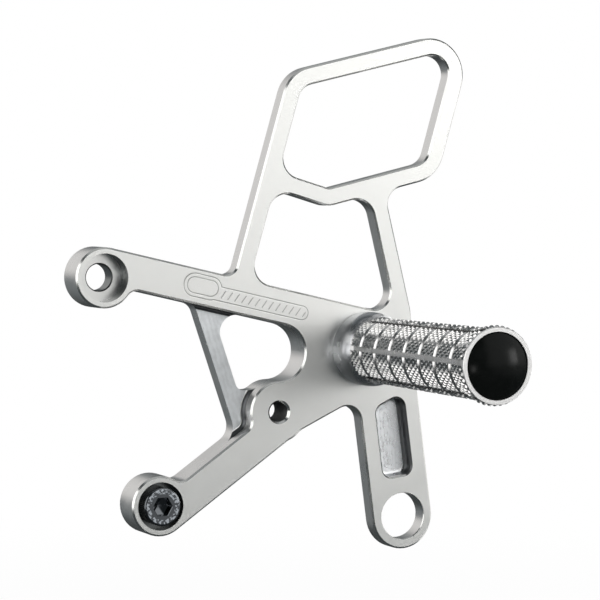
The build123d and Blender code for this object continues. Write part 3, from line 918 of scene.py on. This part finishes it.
class FOOTREST_OT_mounting_screw(Operator):
    """Form the socket screw that stands in the lower boss"""

    bl_idname = "footrest.mounting_screw"
    bl_label = "Mounting screw"

    def execute(self, context):
        look = context.scene.footrest_hardware
        mesh = bmesh.new()
        self.forge_head(mesh)
        self.roll_thread(mesh, look.screw_thread_pitch)
        mesh.transform(outboard(LOWER_HOLE, SEAT))
        tint = look.plate_colour
        rough = look.plate_roughness
        fine = marks("fine_grain", "Height", Grain=0.1)
        materials = [
            metal(
                "plated_head", tint, rough, rings(LOWER_HOLE, 0.4), 0.008,
                # the head is darkened to 0.2 of the plate colour, all but a speckled ring round the
                # socket
                spread=0.08, darken=outside_ring(LOWER_HOLE, 4.3, 6.0), darkened_share=0.2,
            ),
            metal("plated_thread", tint, rough + 0.06, fine, 0.004),
        ]
        finish_piece(mesh, "lower_mounting_screw", materials)
        return {"FINISHED"}

    def forge_head(self, mesh):
        """Head with a gripped side, a rounded edge and a hexagon socket, and the plain neck."""
        shoulder = (HEAD_RADIUS, 7.3)
        rim = tangent_arc(shoulder, (5.85, HEAD_HEIGHT), (0, 1), 6)
        profile = [(5.75, HEAD_HEIGHT)] + rim[::-1]
        profile += [shoulder, (HEAD_RADIUS, 7.0), (HEAD_RADIUS, 0.5), (6.3, 0.2), (6.3, 0.0)]
        profile += [(NECK_RADIUS, 0.0), (NECK_RADIUS, NECK_END)]
        faces = lathe(mesh, profile, HEAD_STEPS, closed=False)
        for vert in {vert for face in faces for vert in face.verts}:
            turn = round(atan2(vert.co.y, vert.co.x) / (2 * pi) * HEAD_STEPS)
            on_side = vert.co.xy.length / MM > HEAD_RADIUS - 0.05 and vert.co.z / MM < 7.1
            if on_side and turn % 2:
                vert.co.xy *= 0.972
        top_level = (HEAD_HEIGHT - 0.1) * MM
        top = [edge for edge in mesh.edges if edge.is_boundary and edge.verts[0].co.z > top_level]
        lead = 0.18
        mouth = self.hexagon(mesh, SOCKET_FLATS / 2 + lead, HEAD_HEIGHT)
        bmesh.ops.triangle_fill(mesh, use_beauty=True, edges=top + mouth)
        loop = mouth
        for level, narrow in (
            (HEAD_HEIGHT - lead, SOCKET_FLATS / (SOCKET_FLATS + 2 * lead)),
            (HEAD_HEIGHT - SOCKET_DEPTH, 1.0),
            (HEAD_HEIGHT - SOCKET_DEPTH - 1.2, 0.02),
        ):
            made = bmesh.ops.extrude_edge_only(mesh, edges=loop)
            loop = parts_of(made, bmesh.types.BMEdge)
            ring = parts_of(made, bmesh.types.BMVert)
            for vert in ring:
                vert.co.z = level * MM
                vert.co.xy *= narrow
        bmesh.ops.remove_doubles(mesh, verts=ring, dist=0.1 * MM)
        bmesh.ops.recalc_face_normals(mesh, faces=mesh.faces)

    def hexagon(self, mesh, inner, level):
        """Closed loop of edges of a hexagon with that inner radius."""
        reach = inner / cos(pi / 6)
        corners = [
            Vector((cos(pi / 3 * corner), sin(pi / 3 * corner))) * reach for corner in range(7)
        ]
        points = [
            first.lerp(second, part / 4)
            for first, second in zip(corners, corners[1:])
            for part in range(4)
        ]
        verts = [mesh.verts.new((point.x * MM, point.y * MM, level * MM)) for point in points]
        return [mesh.edges.new(pair) for pair in zip(verts, verts[1:] + verts[:1])]

    def roll_thread(self, mesh, pitch):
        """Male thread from the thin neck to a chamfered tip."""
        minor, major = 3.3, 4.0
        profile = [(minor, 0.0), (minor, pitch * 0.12), (major, pitch * 0.5)]
        profile += [(major, pitch * 0.62), (minor, pitch)]
        turns = int((NECK_END - SCREW_TIP) / pitch) + 3
        thread = bmesh.new()
        helix(thread, profile, pitch, SCREW_TIP - pitch, turns, 40, material=SHANK)
        trim(thread, SCREW_TIP, -1)
        trim(thread, NECK_END, 1)
        for vert in thread.verts:
            height = vert.co.z / MM
            allowed = min(minor - 0.15 + height - SCREW_TIP, minor + 0.2 + NECK_END - height)
            radius = vert.co.xy.length / MM
            if radius > allowed:
                vert.co.xy *= allowed / radius
        end = [(0.0, SCREW_TIP), (minor - 0.12, SCREW_TIP)]
        lathe(thread, end, 48, material=SHANK, closed=False)
        point_faces(thread, 1, lambda height: -1)
        pour(thread, mesh)


class FOOTREST_OT_peg_fixings(Operator):
    """Finish the bolt and the washer inside the peg"""

    bl_idname = "footrest.peg_fixings"
    bl_label = "Peg bolt and washer"

    def execute(self, context):
        look = context.scene.footrest_hardware
        tint = shaded(look.plate_colour, 0.6)
        material = metal("plated_bolt", tint, look.plate_roughness, rings(PEG, 0.4), 0.008)
        for name in ("peg_bolt", "peg_lock_washer"):
            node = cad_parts[name]
            node.data.materials.clear()
            node.data.materials.append(material)
        return {"FINISHED"}


# Studio


def lamp(name, place, aim, width, height, radiance):
    """Soft rectangular lamp that faces a point; radiance 1 is the white of paper."""
    data = bpy.data.lights.new(name, "AREA")
    data.shape = "RECTANGLE"
    data.size = width
    data.size_y = height
    data.energy = radiance * pi * width * height
    made = bpy.data.objects.new(name, data)
    made.location = place
    made.rotation_euler = (Vector(aim) - Vector(place)).to_track_quat("-Z", "Y").to_euler()
    made.visible_glossy = False
    bpy.context.scene.collection.objects.link(made)
    return made


def seen_share(tree):
    """1 for rays from the camera, a reflection or glass, and 0 for those that light the object."""
    rays = tree.nodes.new("ShaderNodeLightPath").outputs
    seen = reckon(tree, "ADD", rays["Is Camera Ray"], rays["Is Glossy Ray"])
    return reckon(tree, "MINIMUM", reckon(tree, "ADD", seen, rays["Is Transmission Ray"]), 1.0)


WHITE = (1, 1, 1, 1)

# Name, place, width and height in metres, and radiance of each soft lamp
LAMPS = (
    ("lamp_right", (0.95, -0.85, 0.35), 0.7, 1.0, 2.6),
    ("lamp_front", (-0.35, -1.15, 0.45), 0.5, 0.6, 1.6),
    ("lamp_left", (-1.05, 0.15, 0.25), 0.6, 0.9, 2.0),
    ("lamp_top", (0.05, -0.15, 1.15), 1.1, 1.0, 1.6),
)

# Soft lit panels of the tent: azimuth from outboard towards the rear, elevation, half width,
# half height and soft edge in degrees, then brightness
PANELS = (
    (43.0, 26.0, 33.0, 21.0, 18.0, 1.18),  # main
    (46.0, -3.0, 28.0, 7.0, 12.0, 0.42),  # low border of the main one
    (54.0, 9.0, 6.0, 7.0, 6.0, 7.0),  # spark on the peg
    (-93.0, 12.0, 36.0, 20.0, 8.0, 1.35),  # left
    (-156.0, 18.0, 22.0, 8.0, 20.0, 0.70),  # behind left
    (-156.0, -8.0, 24.0, 10.0, 8.0, 0.13),  # behind left, low
    (126.0, -16.0, 22.0, 14.0, 10.0, 0.8),  # behind right
    (178.0, 31.0, 22.0, 9.0, 14.0, 0.28),  # behind, high
    (0.0, 86.0, 180.0, 18.0, 14.0, 0.34),  # top
    (-26.0, -8.0, 1.5, 3.0, 4.0, 6.0),  # spark on the collar
)


class FOOTREST_OT_studio(Operator):
    """Set up the pale floor, the soft lamps and the camera"""

    bl_idname = "footrest.studio"
    bl_label = "Studio"

    middle = Vector((0.07124, -0.0127, -0.00867))

    def execute(self, context):
        look = context.scene.footrest_studio
        self.set_sky(context.scene)
        self.lay_floor(look.floor_level)
        self.hang_lamps(look.lamp_level)
        self.hang_tent(look.tent_shade)
        self.set_camera(context.scene, look)
        context.scene.view_settings.view_transform = "Standard"
        return {"FINISHED"}

    def set_sky(self, scene):
        """White background for the camera and for reflections, and a soft even fill."""
        world = bpy.data.worlds.new("studio_sky")
        scene.world = world
        world.use_nodes = True
        tree = world.node_tree
        tree.nodes.clear()
        strength = between(tree, seen_share(tree), 0.0, 1.0, 0.55, 1.0, "LINEAR")
        feeds = {"Color": WHITE, "Strength": strength}
        sky = feed(tree, "ShaderNodeBackground", feeds)
        feed(tree, "ShaderNodeOutputWorld", {"Surface": sky.outputs[0]})

    def lay_floor(self, level):
        middle = (0.06, 0, level)
        mesh = bmesh.new()
        bmesh.ops.create_circle(mesh, cap_ends=True, segments=96, radius=3.0)
        bmesh.ops.translate(mesh, verts=mesh.verts, vec=middle)
        material, tree = new_material("pale_floor")
        tree.nodes.clear()
        place = tree.nodes.new("ShaderNodeTexCoord").outputs["Object"]
        reach = vector(tree, "LENGTH", vector(tree, "SUBTRACT", place, middle))
        fade = between(tree, reach, 0.10, 0.50, 0.80, 1.0)
        white_share = reckon(tree, "MULTIPLY", seen_share(tree), fade)
        cloth = feed(tree, "ShaderNodeBsdfDiffuse", {"Color": (0.93, 0.93, 0.93, 1)})
        glow = feed(tree, "ShaderNodeEmission", {"Color": WHITE, "Strength": 1.0})
        feeds = {0: white_share, 1: cloth.outputs[0], 2: glow.outputs[0]}
        mixed = feed(tree, "ShaderNodeMixShader", feeds)
        feed(tree, "ShaderNodeOutputMaterial", {"Surface": mixed.outputs[0]})
        floor = object_of("floor", mesh, [material])
        floor.visible_glossy = False

    def hang_lamps(self, level):
        for name, place, width, height, radiance in LAMPS:
            lamp(name, place, self.middle, width, height, radiance * level)

    def hang_tent(self, shade):
        """Dark tent with soft lit panels, which only reflections see."""
        mesh = bmesh.new()
        bmesh.ops.create_icosphere(mesh, subdivisions=4, radius=1.8)
        bmesh.ops.reverse_faces(mesh, faces=mesh.faces)
        bmesh.ops.translate(mesh, verts=mesh.verts, vec=self.middle)
        material, tree = new_material("tent_cloth")
        tree.nodes.clear()
        place = tree.nodes.new("ShaderNodeTexCoord").outputs["Object"]
        offset = vector(tree, "SUBTRACT", place, tuple(self.middle))
        aim = split(tree, vector(tree, "NORMALIZE", offset))
        outward = reckon(tree, "MULTIPLY", aim["Y"], -1.0)
        azimuth = reckon(tree, "DEGREES", reckon(tree, "ARCTAN2", aim["X"], outward))
        elevation = reckon(tree, "DEGREES", reckon(tree, "ARCSINE", aim["Z"]))
        light = 0.0
        for side, height, half_width, half_height, soft, level in PANELS:
            aside = reckon(tree, "WRAP", reckon(tree, "SUBTRACT", azimuth, side), 180.0, -180.0)
            aside = reckon(tree, "ABSOLUTE", aside)
            above = apart(tree, elevation, height)
            across = between(tree, aside, half_width, half_width + soft, level, 0.0)
            upward = between(tree, above, half_height, half_height + soft, 1.0, 0.0)
            light = reckon(tree, "MAXIMUM", light, reckon(tree, "MULTIPLY", across, upward))
        warmth = between(tree, light, 0.0, 0.5)
        cast = blend(tree, warmth, (0.86, 0.96, 1.0), (1.0, 0.995, 0.985))
        strength = reckon(tree, "ADD", light, shade)
        glow = feed(tree, "ShaderNodeEmission", {"Color": cast, "Strength": strength})
        feed(tree, "ShaderNodeOutputMaterial", {"Surface": glow.outputs[0]})
        tent = object_of("tent", mesh, [material])
        tent.visible_camera = False
        tent.visible_diffuse = False
        tent.visible_shadow = False
        tent.visible_transmission = False

    def set_camera(self, scene, look):
        azimuth = look.camera_azimuth
        elevation = look.camera_elevation
        level = cos(elevation)
        back = Vector((-sin(azimuth) * level, -cos(azimuth) * level, sin(elevation)))
        data = bpy.data.cameras.new("studio_camera")
        data.sensor_width = 36.0
        data.lens = 150.0
        data.clip_start = 0.01
        camera = bpy.data.objects.new("studio_camera", data)
        camera.location = self.middle + back * look.camera_distance
        camera.rotation_euler = (-back).to_track_quat("-Z", "Y").to_euler()
        scene.collection.objects.link(camera)
        scene.camera = camera


class FOOTREST_PT_panel(Panel):
    """Sizes, colours and steps of the footrest"""

    bl_idname = "FOOTREST_PT_panel"
    bl_label = "Rear sets footrest"
    bl_space_type = "VIEW_3D"
    bl_region_type = "UI"
    bl_category = "Footrest"

    def draw(self, context):
        scene = context.scene
        for name in SETTINGS:
            settings = getattr(scene, name)
            box = self.layout.box()
            for field in settings.__annotations__:
                box.prop(settings, field)
        for step in STEPS:
            self.layout.operator(step.bl_idname)


SETTINGS = {
    "footrest_bracket": FootrestBracketSettings,
    "footrest_peg": FootrestPegSettings,
    "footrest_hardware": FootrestHardwareSettings,
    "footrest_studio": FootrestStudioSettings,
}
STEPS = (
    FOOTREST_OT_effects,
    FOOTREST_OT_bracket,
    FOOTREST_OT_footpeg,
    FOOTREST_OT_end_plug,
    FOOTREST_OT_mounting_screw,
    FOOTREST_OT_peg_fixings,
    FOOTREST_OT_studio,
)


def register():
    for name, settings in SETTINGS.items():
        bpy.utils.register_class(settings)
        setattr(bpy.types.Scene, name, PointerProperty(type=settings))
    for step in STEPS:
        bpy.utils.register_class(step)
    bpy.utils.register_class(FOOTREST_PT_panel)


def unregister():
    bpy.utils.unregister_class(FOOTREST_PT_panel)
    for step in reversed(STEPS):
        bpy.utils.unregister_class(step)
    for name, settings in SETTINGS.items():
        delattr(bpy.types.Scene, name)
        bpy.utils.unregister_class(settings)


def main():
    register()
    bpy.ops.footrest.effects()
    bpy.ops.footrest.bracket()
    bpy.ops.footrest.footpeg()
    bpy.ops.footrest.end_plug()
    bpy.ops.footrest.mounting_screw()
    bpy.ops.footrest.peg_fixings()
    bpy.ops.footrest.studio()


if __name__ == "__main__":
    main()
